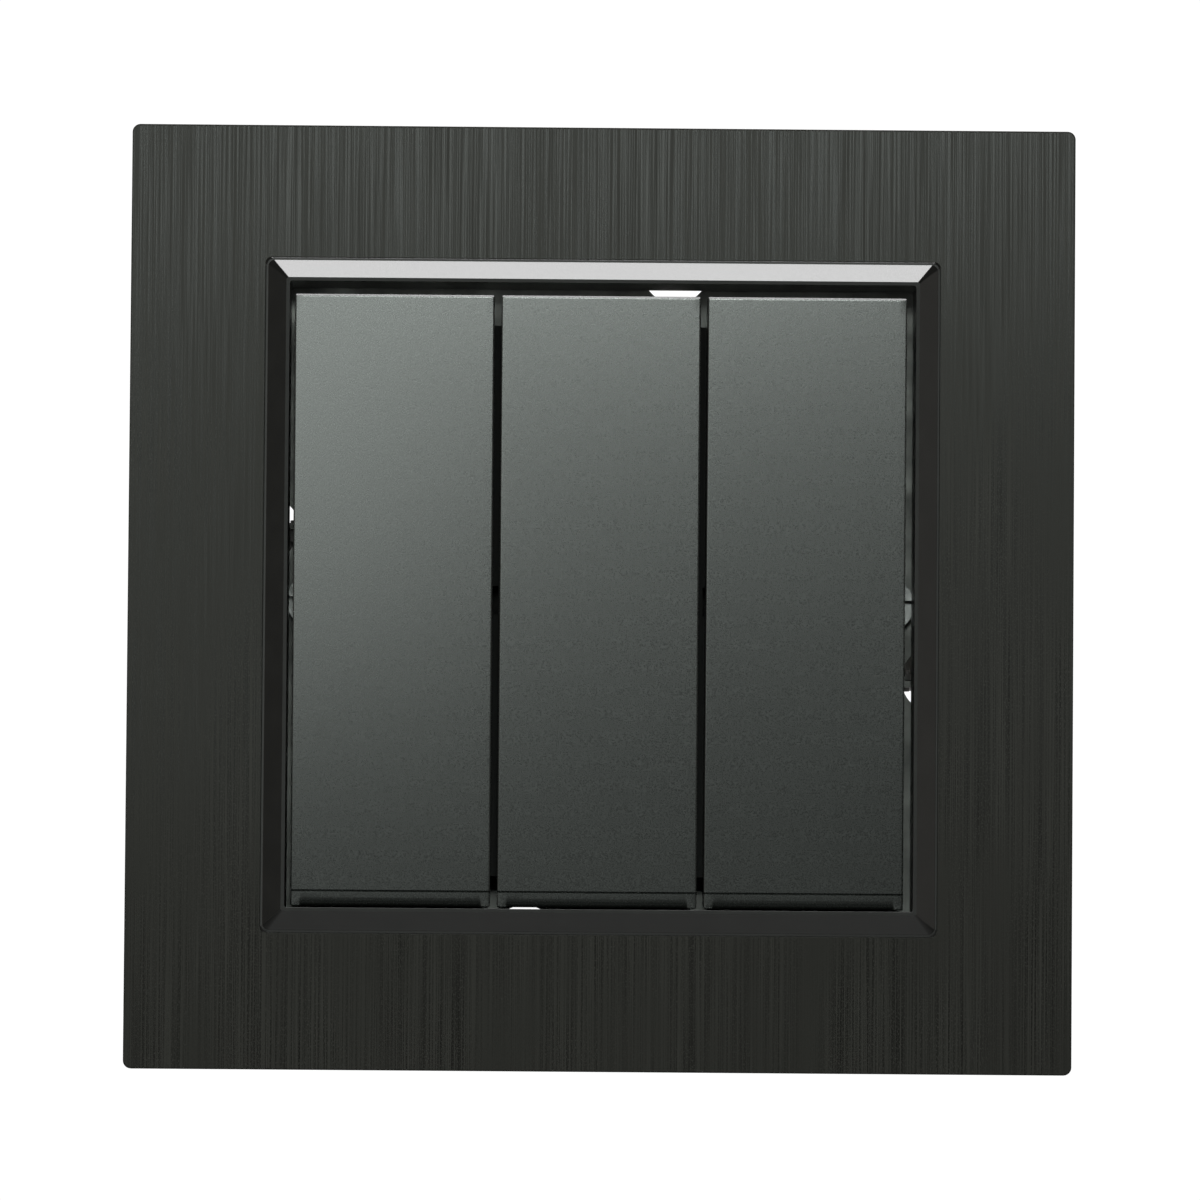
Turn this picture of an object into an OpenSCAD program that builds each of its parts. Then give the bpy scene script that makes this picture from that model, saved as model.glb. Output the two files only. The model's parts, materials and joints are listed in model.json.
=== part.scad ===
// Flush three-gang rocker switch: cover frame, three keys, steel mounting strap and
// the switch mechanism behind it.
// Millimetres. X runs to the right, Y runs into the wall and Z runs up.
// The origin is the centre of the strap's screw circle, on the wall's plane, y = 0.
// The keys rest with their lower ends pressed in, which closes their contacts.

/* [Cover frame] */
// Width and height of the brushed face plate
frame_w = 82; // [80:0.5:86]
// How far the face plate's front stands off the wall
face_y = 9; // [8.5:0.1:10]
// Thickness of the face plate
sheet_t = 0.8; // [0.5:0.1:1]
// Radius of the face plate's corners
corner_r = 0.7; // [0.3:0.1:3]
// Width of the square opening that frames the keys
opening_w = 54.3; // [54.3:0.05:55]
// Width of the raised lip round the opening, seen from the front
lip_w = 2.15; // [1.8:0.05:2.5]
// Width of the shallow foot at the lip's outer edge
lip_foot_w = 0.25; // [0.2:0.05:0.4]
// Height of the raised lip above the face plate
lip_rise = 1.4; // [0.8:0.1:1.6]
// How far the lip and its opening sit above the middle of the face plate
lip_lift = 0.15; // [0:0.05:0.2]
// Thickness of the plastic walls of the frame
frame_wall = 1.5; // [1.2:0.1:1.8]

/* [Keys] */
// Width of one key
key_w = 17.25; // [16.6:0.05:17.3]
// Height of one key
key_h = 52.95; // [52.5:0.05:53]
// Distance between the centres of two keys
key_pitch = 17.86; // [17.8:0.02:17.9]
// How far the row of keys sits off the middle of the opening
key_shift = -0.17; // [-0.25:0.01:0.25]
// How far a key's middle sits above its axle, below it where negative
key_rise = -0.08; // [-0.08:0.01:0.1]
// Tilt of a key at rest, upper end out
key_tilt = 2.8; // [2:0.1:2.8]
// Distance of a level key's face from the wall
key_y = 10.6; // [10.4:0.1:11]
// Depth of a key's side walls
key_depth = 4; // [3.5:0.1:4.2]
// Distance of the groove line from a key's lower end
groove_z = 1.35; // [1.2:0.05:1.8]
// Height of the finger scoop at a key's lower end
scoop_h = 0.8; // [0.6:0.05:1]
// Depth of the finger scoop at the very end
scoop_d = 0.8; // [0.5:0.05:1]
// Width of the cheeks that close the scoop at its two ends
cheek_w = 0.75; // [0.5:0.05:1.2]

/* [Mounting strap] */
// Width and height of the strap
strap_w = 71; // [70:0.5:71]
// Thickness of the strap's steel
strap_t = 1; // [0.8:0.1:1.2]
// Diameter of the screw circle
screw_circle_d = 60; // [60]
// Angle from a keyhole's round entry to its seat on the circle
keyhole_turn = 12.3; // [11:0.1:14]
// Radius of a keyhole's round entry
keyhole_r = 2.9; // [2.8:0.1:3]
// Width of a keyhole's slot
keyhole_slot_w = 3.8; // [3.4:0.1:3.8]
// Radius of a keyhole's seat, a little wider than its slot
keyhole_seat_r = 2.05; // [2:0.05:2.3]
// Distance between two corner holes
corner_pitch = 59; // [58:0.5:60]
// Radius of a corner hole
corner_hole_r = 1.8; // [1.6:0.1:2]

/* [Mechanism] */
// Distance between the middles of two switch cells
cell_pitch = 15.6; // [15.5:0.1:15.8]
// Depth of the mechanism behind the wall's plane
body_depth = 21; // [21:0.5:24]
// Thickness of the mechanism's outer walls
body_wall = 1.5; // [1.2:0.1:1.5]
// Distance of an outer terminal from the middle
terminal_x = 11; // [10.9:0.1:11.1]
// Radius of a wire entry
wire_r = 1.8; // [1.5:0.1:1.8]

/* [Hidden] */
SIDES = ["left", "middle", "right"];
CLAW_SIDES = ["left", "right"];
function per_side(stem) = [for (s = SIDES) str(stem, "_", s)];
function per_claw(stem) = [for (s = CLAW_SIDES) str(stem, "_", s)];
function per_terminal(stem) = [for (i = [1:4]) str(stem, "_", i)];

$fn = 48;
eps = 0.01;

// Colours
BLACK_SHEET = [0.17, 0.18, 0.17];
BLACK_GLOSS = [0.07, 0.07, 0.07];
KEY_GREY = [0.25, 0.26, 0.25];
ZINC = [0.68, 0.7, 0.7];
HOUSING = [0.86, 0.86, 0.83];
COVER_GREY = [0.3, 0.31, 0.32];
ACTUATOR_WHITE = [0.9, 0.9, 0.88];
STEEL = [0.55, 0.56, 0.57];
BRASS = [0.8, 0.65, 0.3];
COPPER = [0.75, 0.45, 0.28];
SILVER = [0.85, 0.86, 0.87];

// Cover frame
frame_half = frame_w / 2;
base_half = frame_half - 0.2;
opening_half = opening_w / 2;
lip_foot_half = opening_half + lip_w;
ridge_w = 0.3;
lip_foot_rise = 0.08;
ridge_half = opening_half + ridge_w;
sheet_back = sheet_t - face_y;
collar_wall = 1.2;
collar_back = -3.5;
tab_half = 8;
tab_front = -4.5;
rib_gap = 0.7;
rib_back = -1.5;
nub_depth = 0.5;
nub_front = -2.6;
nub_back = -1.8;
corner_post_out = 4;
corner_post_r = 1.6;
corner_post_back = -3;

// Keys
pivot_y = -4;
key_face_t = 1.4;
key_wall = 1.2;
groove_d = 0.12;
key_rib_z = [-18, -13, 13, 18];
key_rib_t = 1;
key_rib_depth = 2;
clip_z = 8.1;
clip_w = 1.2;
clip_half = 3;
clip_back = -6.7;
clip_catch = 0.6;
function key_x(i) = key_shift + (i - 1) * key_pitch;
function cell_x(i) = (i - 1) * cell_pitch;

// Actuator, plunger and its spring
axle_r = 1.5;
running_gap = 0.05;
rocker_half_w = 4.5;
rocker_half_h = 8;
rocker_front = -9.15;
rocker_back = -7.5;
neck_half_w = 3;
neck_half_h = 1.6;
hub_r = 1.9;
hub_half = 4;
axle_half = 6;
stem_r = 2.6;
stem_end = 5.5;
plunger_r = 1.5;
plunger_back = 2;
spring_seat = -1.5;
nose_y = 6.75;
spring_r = 1.15;
wire_coil_r = 0.2;
spring_turns = 4;
spring_steps = 14;

// Contacts
contact_y = 9.6;
contact_tilt = -2 * key_tilt;
bead_r = 0.6;
knuckle_r = 1.3;
strip_t = 0.8;
strip_half_h = 7.6;
strip_half_w = 2.5;
tip_z = 6.5;
tip_r = 1.1;
tip_t = 0.6;
tip_margin = 0.2;
plate_y = 12;
plate_t = 0.8;
plate_low = 4.5;
plate_top = 10.5;
arm_h = 1.5;
bar_half_h = 2;
tongue_z = 16.6;
tongue_half_w = 2;
tongue_over = 0.2;

// Terminals: the first three feed the switched wires, the fourth the common one
wire_z = 14.5;
clamp_y = 15.1;
clamp_half_d = 2.1;
clamp_half_w = 2.9;
clamp_wall = 0.7;
clamp_low = 11.6;
clamp_top = 18.9;
terminal_screw_r = 1.7;
terminal_head_r = 2.6;
terminal_head_z = 20.3;
terminal_head_t = 2;
slot_w = 0.8;
slot_depth = 1;
access_r = 2.8;
function terminal_place(i) = i < 3 ? [(i - 1) * terminal_x, 1] : [0, -1];

// Mechanism outline
outline_r = 27;
outline_x = 22.8;
outline_z = 23;
body_front = 1.6;
flange_t = 1.5;
boss_x = 22;
boss_z = 12;
boss_front = -2;
window_half_w = 3.1;
window_half_h = 3.6;
recess_half_w = 4;
recess_z = 9;
recess_half_h = 1;
recess_depth = 0.6;
barrier_w = 1.5;
barrier_half_h = 24;
barrier_front = -4.9;
barrier_back = -1.15;
tower_in = 4.2;
tower_out = 6.2;
tower_r = 2.4;
partition_x = 7.3;
partition_t = 0.8;
post_x = 18.5;
post_z = 15;
post_r = 2.2;
contact_post_w = 3;
contact_post_z = [5, 8];
bar_post_w = 2;
bar_post_half_h = 1.5;
bar_notch_half_h = 2.4;
assembly_r = 1;
assembly_head_r = 1.9;
assembly_head_t = 1.2;
assembly_slot_w = 0.5;
assembly_end = 9;

// Claws
claw_x = 25;
claw_screw_r = 1.5;
claw_head_r = 2.4;
claw_head_t = 1.6;
claw_screw_end = 24;
ear_x = [23.6, 27.6];
ear_back = 3.8;
claw_pin_x = 26.5;
claw_pin_y = 2.5;
claw_pin_r = 0.75;
claw_pin_over = 0.3;
ear_in = 6.45;
ear_out = 7;
claw_nut_y = 17.5;
claw_nut_t = 3;
claw_web_x = 27.6;
claw_sheet_t = 1;
cheek_t = 0.5;
claw_end_y = 21.5;
cheek_x = 25.6;
cheek_round_r = 1.3;
tooth_x = 30;
tooth_back_x = 29.4;
tooth_start = 4;
tooth_point = 1.6;
nut_in = 23.2;
nut_out = 27.5;
nut_half_h = 3.9;
nut_cut = 0.9;

// A cylinder along Y from one depth to another
module y_rod(r, y0, y1) {
    translate([0, y1, 0])
        rotate([90, 0, 0])
            cylinder(r = r, h = y1 - y0);
}

// A cylinder along X, centred
module x_rod(r, half) {
    rotate([0, 90, 0])
        cylinder(r = r, h = 2 * half, center = true);
}

// A block between two corners
module block(from, to) {
    translate(from)
        cube(to - from);
}

// A flat outline drawn in X and Z, given its thickness along Y
module y_slab(y0, y1) {
    translate([0, y1, 0])
        rotate([90, 0, 0])
            linear_extrude(height = y1 - y0)
                children();
}

// A profile drawn in Y and Z, run along X, centred
module x_slab(half) {
    rotate([90, 0, 90])
        linear_extrude(height = 2 * half, center = true)
            children();
}

// A square with its corners rounded
module rounded_square(half, r) {
    union() {
        square([2 * half, 2 * (half - r)], center = true);
        square([2 * (half - r), 2 * half], center = true);
        for (x = [-1, 1], y = [-1, 1])
            translate([x * (half - r), y * (half - r)])
                circle(r = r);
    }
}

// The outer slope of the raised lip: a shallow foot, a steep side and a flat ridge
module lip_profile() {
    half = [
        [sheet_back + eps, lip_foot_half],
        [-face_y, lip_foot_half],
        [-face_y - lip_foot_rise, lip_foot_half - lip_foot_w],
        [-face_y - lip_rise, ridge_half]
    ];
    mirrored = [for (k = [len(half) - 1:-1:0]) [half[k][0], -half[k][1]]];
    polygon(concat(half, mirrored));
}

// Brings the mechanism's round outline with flat sides to a plane
module mechanism_outline(inset) {
    intersection() {
        circle(r = outline_r - inset, $fn = 96);
        square([2 * (outline_x - inset), 2 * (outline_z - inset)], center = true);
    }
}

// Turns a rocker's pieces about its axle, to the key's rest tilt
module tilted(y, angle) {
    translate([0, y, 0])
        rotate([angle, 0, 0])
            translate([0, -y, 0])
                children();
}

// Puts a claw's pieces on the left or the right
module on_claw_side(i) {
    mirror([i == 0 ? 1 : 0, 0, 0])
        children();
}

// Puts a terminal's pieces at the top or the bottom of the mechanism
module at_terminal(i) {
    translate([terminal_place(i)[0], 0, 0])
        mirror([0, 0, terminal_place(i)[1] < 0 ? 1 : 0])
            children();
}

// Brushed metal sheet on the front of the frame
module face_plate() {
    color(BLACK_SHEET)
        y_slab(-face_y, sheet_back)
            difference() {
                rounded_square(frame_half, corner_r);
                translate([0, lip_lift])
                    square(2 * lip_foot_half, center = true);
            }
}

// Clip rib of the frame, outside the strap's tab
module clip_rib() {
    rib_in = strap_w / 2 + rib_gap;
    block([rib_in, sheet_back, -tab_half], [rib_in + collar_wall, rib_back, tab_half]);
    block([rib_in - nub_depth, nub_front, -tab_half / 2], [rib_in + eps, nub_back, tab_half / 2]);
}

// Moulded frame: skirt, web, raised lip and the collar round the keys
module frame_base() {
    post = corner_pitch / 2 + corner_post_out;
    color(BLACK_GLOSS) {
        difference() {
            union() {
                y_slab(sheet_back, 0)
                    rounded_square(base_half, corner_r);
                translate([0, 0, lip_lift])
                    intersection() {
                        x_slab(lip_foot_half)
                            lip_profile();
                        rotate([0, 90, 0])
                            x_slab(lip_foot_half)
                                lip_profile();
                    }
            }
            difference() {
                block([-base_half + frame_wall, sheet_back + frame_wall, -base_half + frame_wall],
                      [base_half - frame_wall, eps, base_half - frame_wall]);
                y_slab(sheet_back, collar_back)
                    translate([0, lip_lift])
                        square(2 * (opening_half + collar_wall), center = true);
            }
            y_slab(-face_y - lip_rise - 1, 1)
                translate([0, lip_lift])
                    square(opening_w, center = true);
        }
        clip_rib();
        mirror([1, 0, 0])
            clip_rib();
        for (x = [-1, 1], z = [-1, 1])
            translate([x * post, 0, z * post])
                y_rod(corner_post_r, sheet_back + 1, corner_post_back);
    }
}

// Keyhole at the top of the strap: round entry, then an arc to the seat on the axis
module keyhole() {
    mid = screw_circle_d / 2;
    rotate([0, keyhole_turn, 0])
        translate([0, 0, mid])
            y_rod(keyhole_r, -2, 1);
    translate([0, 0, mid])
        y_rod(keyhole_seat_r, -2, 1);
    translate([0, 1, 0])
        rotate([90, 0, 0])
            rotate([0, 0, 90 - keyhole_turn])
                rotate_extrude(angle = keyhole_turn, $fn = 96)
                    translate([mid - keyhole_slot_w / 2, 0])
                        square([keyhole_slot_w, 3]);
}

// One ear of the strap, which holds a claw's pin
module claw_ear(z) {
    difference() {
        block([ear_x[0], -strap_t / 2, z], [ear_x[1], ear_back, z + ear_out - ear_in]);
        translate([claw_pin_x, claw_pin_y, z - 1])
            cylinder(r = claw_pin_r, h = 3);
    }
}

// The strap before its holes: chamfered sheet, bent tabs for the frame and claw ears
module strap_blank() {
    half = strap_w / 2;
    cut = 6;
    y_slab(-strap_t, 0)
        polygon([
            [-half, cut - half], [cut - half, -half], [half - cut, -half], [half, cut - half],
            [half, half - cut], [half - cut, half], [cut - half, half], [-half, half - cut]
        ]);
    for (i = [0, 1])
        on_claw_side(i) {
            block([half - strap_t, tab_front, -tab_half], [half, -strap_t / 2, tab_half]);
            for (z = [-ear_out, ear_in])
                claw_ear(z);
        }
}

// Stamped steel strap that everything is fixed to
module mounting_strap() {
    color(ZINC)
        difference() {
            strap_blank();
            block([-boss_x - 0.2, -2, -boss_z - 0.2], [boss_x + 0.2, 1, boss_z + 0.2]);
            for (a = [0:90:270])
                rotate([0, a, 0])
                    keyhole();
            for (x = [-1, 1], z = [-1, 1]) {
                translate([x * corner_pitch / 2, 0, z * corner_pitch / 2])
                    y_rod(corner_hole_r, -2, 1);
                translate([x * post_x, 0, z * post_z])
                    y_rod(assembly_r + running_gap, -2, 1);
            }
            for (x = [-1, 1])
                translate([x * claw_x, 0, 0])
                    y_rod(claw_screw_r + running_gap, -2, 1);
        }
}

// Rocker key, level, with its middle over the axle
module level_key(i) {
    half_w = key_w / 2;
    low = key_rise - key_h / 2;
    high = key_rise + key_h / 2;
    back = key_depth - key_y;
    inner = key_face_t - key_y;
    translate([key_x(i), 0, 0])
        difference() {
            x_slab(half_w)
                polygon([[back, low], [-key_y, low], [-key_y, high], [back, high]]);
            x_slab(half_w - cheek_w)
                polygon([
                    [scoop_d - key_y, low - 1], [-key_y - 1, low - 1], [-key_y - 1, low + scoop_h],
                    [-key_y, low + scoop_h], [scoop_d - key_y, low]
                ]);
            x_slab(half_w + 1)
                polygon([
                    [-key_y - groove_d, low + groove_z - 2 * groove_d],
                    [-key_y + groove_d, low + groove_z],
                    [-key_y - groove_d, low + groove_z + 2 * groove_d]
                ]);
            block([key_wall - half_w, inner, low + key_wall + 0.8],
                  [half_w - key_wall, back + 1, high - key_wall]);
        }
    for (z = key_rib_z)
        block([key_x(i) + key_wall / 2 - half_w, inner - eps, z - key_rib_t / 2],
              [key_x(i) + half_w - key_wall / 2, inner + key_rib_depth, z + key_rib_t / 2]);
    for (s = [-1, 1])
        translate([cell_x(i), 0, 0])
            scale([1, 1, s])
                union() {
                    block([-clip_half, inner - eps, clip_z],
                          [clip_half, clip_back, clip_z + clip_w]);
                    block([-clip_half, clip_back - clip_catch, clip_z - clip_catch],
                          [clip_half, clip_back, clip_z + eps]);
                }
}

module key(i) {
    color(KEY_GREY)
        tilted(pivot_y, key_tilt)
            level_key(i);
}

// White rocker that carries the key and holds the plunger in its stem
module actuator(i) {
    color(ACTUATOR_WHITE)
        tilted(pivot_y, key_tilt)
            translate([cell_x(i), 0, 0])
                difference() {
                    union() {
                        block([-rocker_half_w, rocker_front, -rocker_half_h],
                              [rocker_half_w, rocker_back, rocker_half_h]);
                        block([-neck_half_w, rocker_back - eps, -neck_half_h],
                              [neck_half_w, pivot_y, neck_half_h]);
                        translate([0, pivot_y, 0]) {
                            x_rod(hub_r, hub_half);
                            x_rod(axle_r, axle_half);
                        }
                        y_rod(stem_r, pivot_y, stem_end);
                    }
                    y_rod(plunger_r + running_gap, spring_seat, stem_end + 1);
                }
}

// Plunger with a round nose, which rides over the moving contact
module plunger(i) {
    color(BRASS)
        tilted(pivot_y, key_tilt)
            translate([cell_x(i), 0, 0]) {
                y_rod(plunger_r, plunger_back, nose_y);
                translate([0, nose_y, 0])
                    sphere(r = plunger_r);
            }
}

// Points of one ring of the coil, at a given step along the helix
function coil_ring(k, length) =
    let (
        turn = 360 * k / spring_steps,
        along = length * k / (spring_turns * spring_steps)
    )
    [for (j = [0:7])
        let (a = 45 * j, r = spring_r + wire_coil_r * cos(a))
        [r * cos(turn), along + wire_coil_r * sin(a), r * sin(turn)]];

// Compression spring behind the plunger
module plunger_spring(i) {
    rings = spring_turns * spring_steps;
    length = plunger_back - spring_seat - 2 * wire_coil_r - 0.1;
    points = [for (k = [0:rings]) each coil_ring(k, length)];
    sides = [for (k = [0:rings - 1], j = [0:7])
        [8 * k + j, 8 * k + (j + 1) % 8, 8 * (k + 1) + (j + 1) % 8, 8 * (k + 1) + j]];
    start = [[for (j = [7:-1:0]) j]];
    end = [[for (j = [0:7]) 8 * rings + j]];
    color(STEEL)
        tilted(pivot_y, key_tilt)
            translate([cell_x(i), spring_seat + wire_coil_r + 0.05, 0])
                polyhedron(points, concat(sides, start, end));
}

// Insulating front of the mechanism: flange, boss, the towers that hold the axles and the
// barriers that close the gaps between the keys
module mechanism_cover() {
    color(COVER_GREY)
        difference() {
            union() {
                y_slab(0, flange_t)
                    mechanism_outline(0);
                block([-boss_x, boss_front, -boss_z], [boss_x, eps, boss_z]);
                for (i = [0:2], s = [-1, 1])
                    translate([cell_x(i) + s * (tower_in + tower_out) / 2, 0, 0]) {
                        block([(tower_in - tower_out) / 2, pivot_y, -tower_r],
                              [(tower_out - tower_in) / 2, boss_front + eps, tower_r]);
                        translate([0, pivot_y, 0])
                            x_rod(tower_r, (tower_out - tower_in) / 2);
                    }
                for (s = [-1, 1])
                    translate([key_shift + s * key_pitch / 2, 0, 0])
                        block([-barrier_w / 2, barrier_front, -barrier_half_h],
                              [barrier_w / 2, barrier_back, barrier_half_h]);
            }
            for (i = [0:2])
                translate([cell_x(i), 0, 0]) {
                    block([-window_half_w, boss_front - 1, -window_half_h],
                          [window_half_w, flange_t + 1, window_half_h]);
                    translate([0, pivot_y, 0])
                        x_rod(axle_r + running_gap, tower_out + 0.5);
                }
            for (x = [-1, 1], z = [-1, 1])
                translate([x * post_x, 0, z * post_z])
                    y_rod(assembly_r + running_gap, -1, flange_t + 1);
            for (x = [-1, 0, 1], z = [-1, 1])
                translate([cell_x(x + 1), boss_front, z * recess_z])
                    block([-recess_half_w, -eps, -recess_half_h],
                          [recess_half_w, recess_depth, recess_half_h]);
        }
}

// Rear housing: outer wall, rear wall, partitions and supports for the contacts
module mechanism_body() {
    rear = body_depth - body_wall;
    color(HOUSING)
        difference() {
            union() {
                difference() {
                    y_slab(body_front, body_depth)
                        mechanism_outline(0);
                    y_slab(body_front - 1, rear)
                        mechanism_outline(body_wall);
                }
                intersection() {
                    y_slab(body_front, rear + eps)
                        mechanism_outline(body_wall / 2);
                    union() {
                        for (x = [-1, 1], z = [-1, 1])
                            translate([x * post_x, 0, z * post_z])
                                y_rod(post_r, body_front, rear + eps);
                        for (x = [-1, 1])
                            block([x * partition_x - partition_t / 2, body_front, -outline_z],
                                  [x * partition_x + partition_t / 2, rear + eps, outline_z]);
                        for (i = [0:2]) {
                            block([cell_x(i) - contact_post_w / 2, plate_y + plate_t,
                                   contact_post_z[0]],
                                  [cell_x(i) + contact_post_w / 2, rear + eps,
                                   contact_post_z[1]]);
                            block([cell_x(i) - bar_post_w / 2, plate_y + plate_t,
                                   -bar_post_half_h],
                                  [cell_x(i) + bar_post_w / 2, rear + eps, bar_post_half_h]);
                        }
                    }
                }
            }
            block([-partition_x - 1, body_front - 1, -bar_notch_half_h],
                  [partition_x + 1, plate_y + plate_t, bar_notch_half_h]);
            for (x = [-1, 1], z = [-1, 1])
                translate([x * post_x, 0, z * post_z])
                    y_rod(assembly_r + running_gap, body_front - 1, assembly_end + 2);
            for (i = [0:3])
                at_terminal(i) {
                    translate([0, 0, wire_z])
                        y_rod(wire_r, rear - 1, body_depth + 1);
                    translate([0, clamp_y, outline_z - body_wall - 1])
                        cylinder(r = access_r, h = body_wall + 2);
                }
        }
}

// Rocking contact strip, with a half-round knuckle over the common bar's bead
module moving_contact(i) {
    color(COPPER)
        tilted(contact_y, contact_tilt)
            translate([cell_x(i), contact_y, 0])
                difference() {
                    union() {
                        block([-strip_half_w, -strip_t / 2, -strip_half_h],
                              [strip_half_w, strip_t / 2, strip_half_h]);
                        intersection() {
                            x_rod(knuckle_r, strip_half_w);
                            block([-strip_half_w, -knuckle_r, -knuckle_r],
                                  [strip_half_w, 0, knuckle_r]);
                        }
                    }
                    x_rod(bead_r + running_gap, strip_half_w + 1);
                    block([-strip_half_w - 1, 0, -bead_r - running_gap],
                          [strip_half_w + 1, 1, bead_r + running_gap]);
                }
}

// Silver tip on the upper end of a moving contact
module moving_tip(i) {
    color(SILVER)
        tilted(contact_y, contact_tilt)
            translate([cell_x(i), contact_y, tip_z])
                y_rod(tip_r, strip_t / 2, strip_t / 2 + tip_t);
}

// Fixed contact: plate behind the moving tip, stepped over to its terminal's tongue
module fixed_contact(i) {
    cell = cell_x(i);
    term = terminal_place(i)[0];
    low = min(cell - strip_half_w, term - tongue_half_w);
    high = max(cell + strip_half_w, term + tongue_half_w);
    color(COPPER) {
        block([cell - strip_half_w, plate_y, plate_low],
              [cell + strip_half_w, plate_y + plate_t, plate_top - arm_h / 2]);
        block([low, plate_y, plate_top - arm_h], [high, plate_y + plate_t, plate_top]);
        terminal_tongue(i);
    }
}

// The upright and the tongue that reaches into a terminal's clamp
module terminal_tongue(i) {
    at_terminal(i) {
        block([-tongue_half_w, plate_y, plate_top - arm_h / 2],
              [tongue_half_w, plate_y + plate_t, tongue_z + plate_t]);
        block([-tongue_half_w, plate_y, tongue_z],
              [tongue_half_w, clamp_y + clamp_half_d + tongue_over, tongue_z + plate_t]);
    }
}

// Silver tips of the three fixed contacts
module fixed_tips() {
    color(SILVER)
        for (i = [0:2])
            translate([cell_x(i), 0, tip_z])
                y_rod(tip_r + tip_margin, plate_y - tip_t, plate_y);
}

// Common bar: one bead under each moving contact, and the leg to the fourth terminal
module common_bar() {
    reach = cell_pitch + strip_half_w;
    color(COPPER) {
        block([-reach, plate_y, -bar_half_h], [reach, plate_y + plate_t, bar_half_h]);
        for (i = [0:2])
            translate([cell_x(i), 0, 0]) {
                translate([0, contact_y, 0])
                    x_rod(bead_r, strip_half_w);
                block([-strip_half_w, contact_y, -plate_t / 2],
                      [strip_half_w, plate_y + eps, plate_t / 2]);
            }
        block([-tongue_half_w, plate_y, -plate_top],
              [tongue_half_w, plate_y + plate_t, -bar_half_h / 2]);
        terminal_tongue(3);
    }
}

// Cage that draws the wire up against the tongue
module terminal_clamp(i) {
    color(ZINC)
        at_terminal(i)
            translate([0, clamp_y, 0])
                difference() {
                    block([-clamp_half_w, -clamp_half_d, clamp_low],
                          [clamp_half_w, clamp_half_d, clamp_top]);
                    block([clamp_wall - clamp_half_w, -clamp_half_d - 1, clamp_low + 0.8],
                          [clamp_half_w - clamp_wall, clamp_half_d + 1, tongue_z + plate_t + 0.1]);
                    translate([0, 0, tongue_z])
                        cylinder(r = terminal_screw_r + running_gap, h = 4);
                }
}

// Slotted terminal screw
module terminal_screw(i) {
    tip = tongue_z + plate_t + 0.05;
    color(STEEL)
        at_terminal(i)
            translate([0, clamp_y, 0])
                difference() {
                    union() {
                        translate([0, 0, tip])
                            cylinder(r = terminal_screw_r, h = terminal_head_z - tip + eps);
                        translate([0, 0, terminal_head_z])
                            cylinder(r = terminal_head_r, h = terminal_head_t);
                    }
                    block([-terminal_head_r - 1, -slot_w / 2,
                           terminal_head_z + terminal_head_t - slot_depth],
                          [terminal_head_r + 1, slot_w / 2,
                           terminal_head_z + terminal_head_t + 1]);
                }
}

// Long screw that draws a claw's nut forward, with a crossed recess in its head
module claw_screw(i) {
    head_front = -strap_t - claw_head_t;
    color(ZINC)
        on_claw_side(i)
            translate([claw_x, 0, 0])
                difference() {
                    union() {
                        y_rod(claw_head_r, head_front, -strap_t);
                        y_rod(claw_screw_r, -strap_t - eps, claw_screw_end);
                    }
                    block([-claw_head_r - 1, head_front - 1, -slot_w / 2],
                          [claw_head_r + 1, head_front + slot_depth, slot_w / 2]);
                    block([-slot_w / 2, head_front - 1, -claw_head_r - 1],
                          [slot_w / 2, head_front + slot_depth, claw_head_r + 1]);
                }
}

// Nut block that slides between a claw's cheeks
module claw_nut(i) {
    color(ZINC)
        on_claw_side(i)
            difference() {
                y_slab(claw_nut_y, claw_nut_y + claw_nut_t)
                    polygon([
                        [nut_in, nut_cut - nut_half_h], [nut_in + nut_cut, -nut_half_h],
                        [nut_out, -nut_half_h], [nut_out, nut_half_h],
                        [nut_in + nut_cut, nut_half_h], [nut_in, nut_half_h - nut_cut]
                    ]);
                translate([claw_x, 0, 0])
                    y_rod(claw_screw_r + running_gap, claw_nut_y - 1, claw_nut_y + claw_nut_t + 1);
            }
}

// One cheek of a claw arm, with its pin hole and its tooth
module claw_cheek(z) {
    difference() {
        union() {
            block([cheek_x, claw_pin_y, z],
                  [claw_web_x + claw_sheet_t, claw_end_y, z + cheek_t]);
            translate([claw_pin_x, claw_pin_y, z])
                cylinder(r = cheek_round_r, h = cheek_t);
            translate([0, 0, z])
                linear_extrude(height = cheek_t)
                    polygon([
                        [claw_web_x, claw_end_y - tooth_start],
                        [tooth_x, claw_end_y - tooth_point],
                        [tooth_back_x, claw_end_y], [claw_web_x, claw_end_y]
                    ]);
        }
        translate([claw_pin_x, claw_pin_y, z - 1])
            cylinder(r = claw_pin_r + running_gap, h = 3);
    }
}

// Claw arm: a channel that swings out against the wall box
module claw_arm(i) {
    cheek_low = -ear_in + 2 * running_gap;
    color(ZINC)
        on_claw_side(i) {
            claw_cheek(cheek_low);
            claw_cheek(-cheek_low - cheek_t);
            block([claw_web_x, claw_pin_y + cheek_round_r + 2 * running_gap, cheek_low],
                  [claw_web_x + claw_sheet_t, claw_end_y, -cheek_low]);
        }
}

// Stub pins on which the claw arms swing, one through each ear
module claw_pins() {
    pin_in = ear_in - 2 * cheek_t;
    pin_out = ear_out + claw_pin_over;
    color(STEEL)
        for (i = [0, 1], z = [pin_in, -pin_out])
            on_claw_side(i)
                translate([claw_pin_x, claw_pin_y, z])
                    cylinder(r = claw_pin_r, h = pin_out - pin_in);
}

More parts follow.
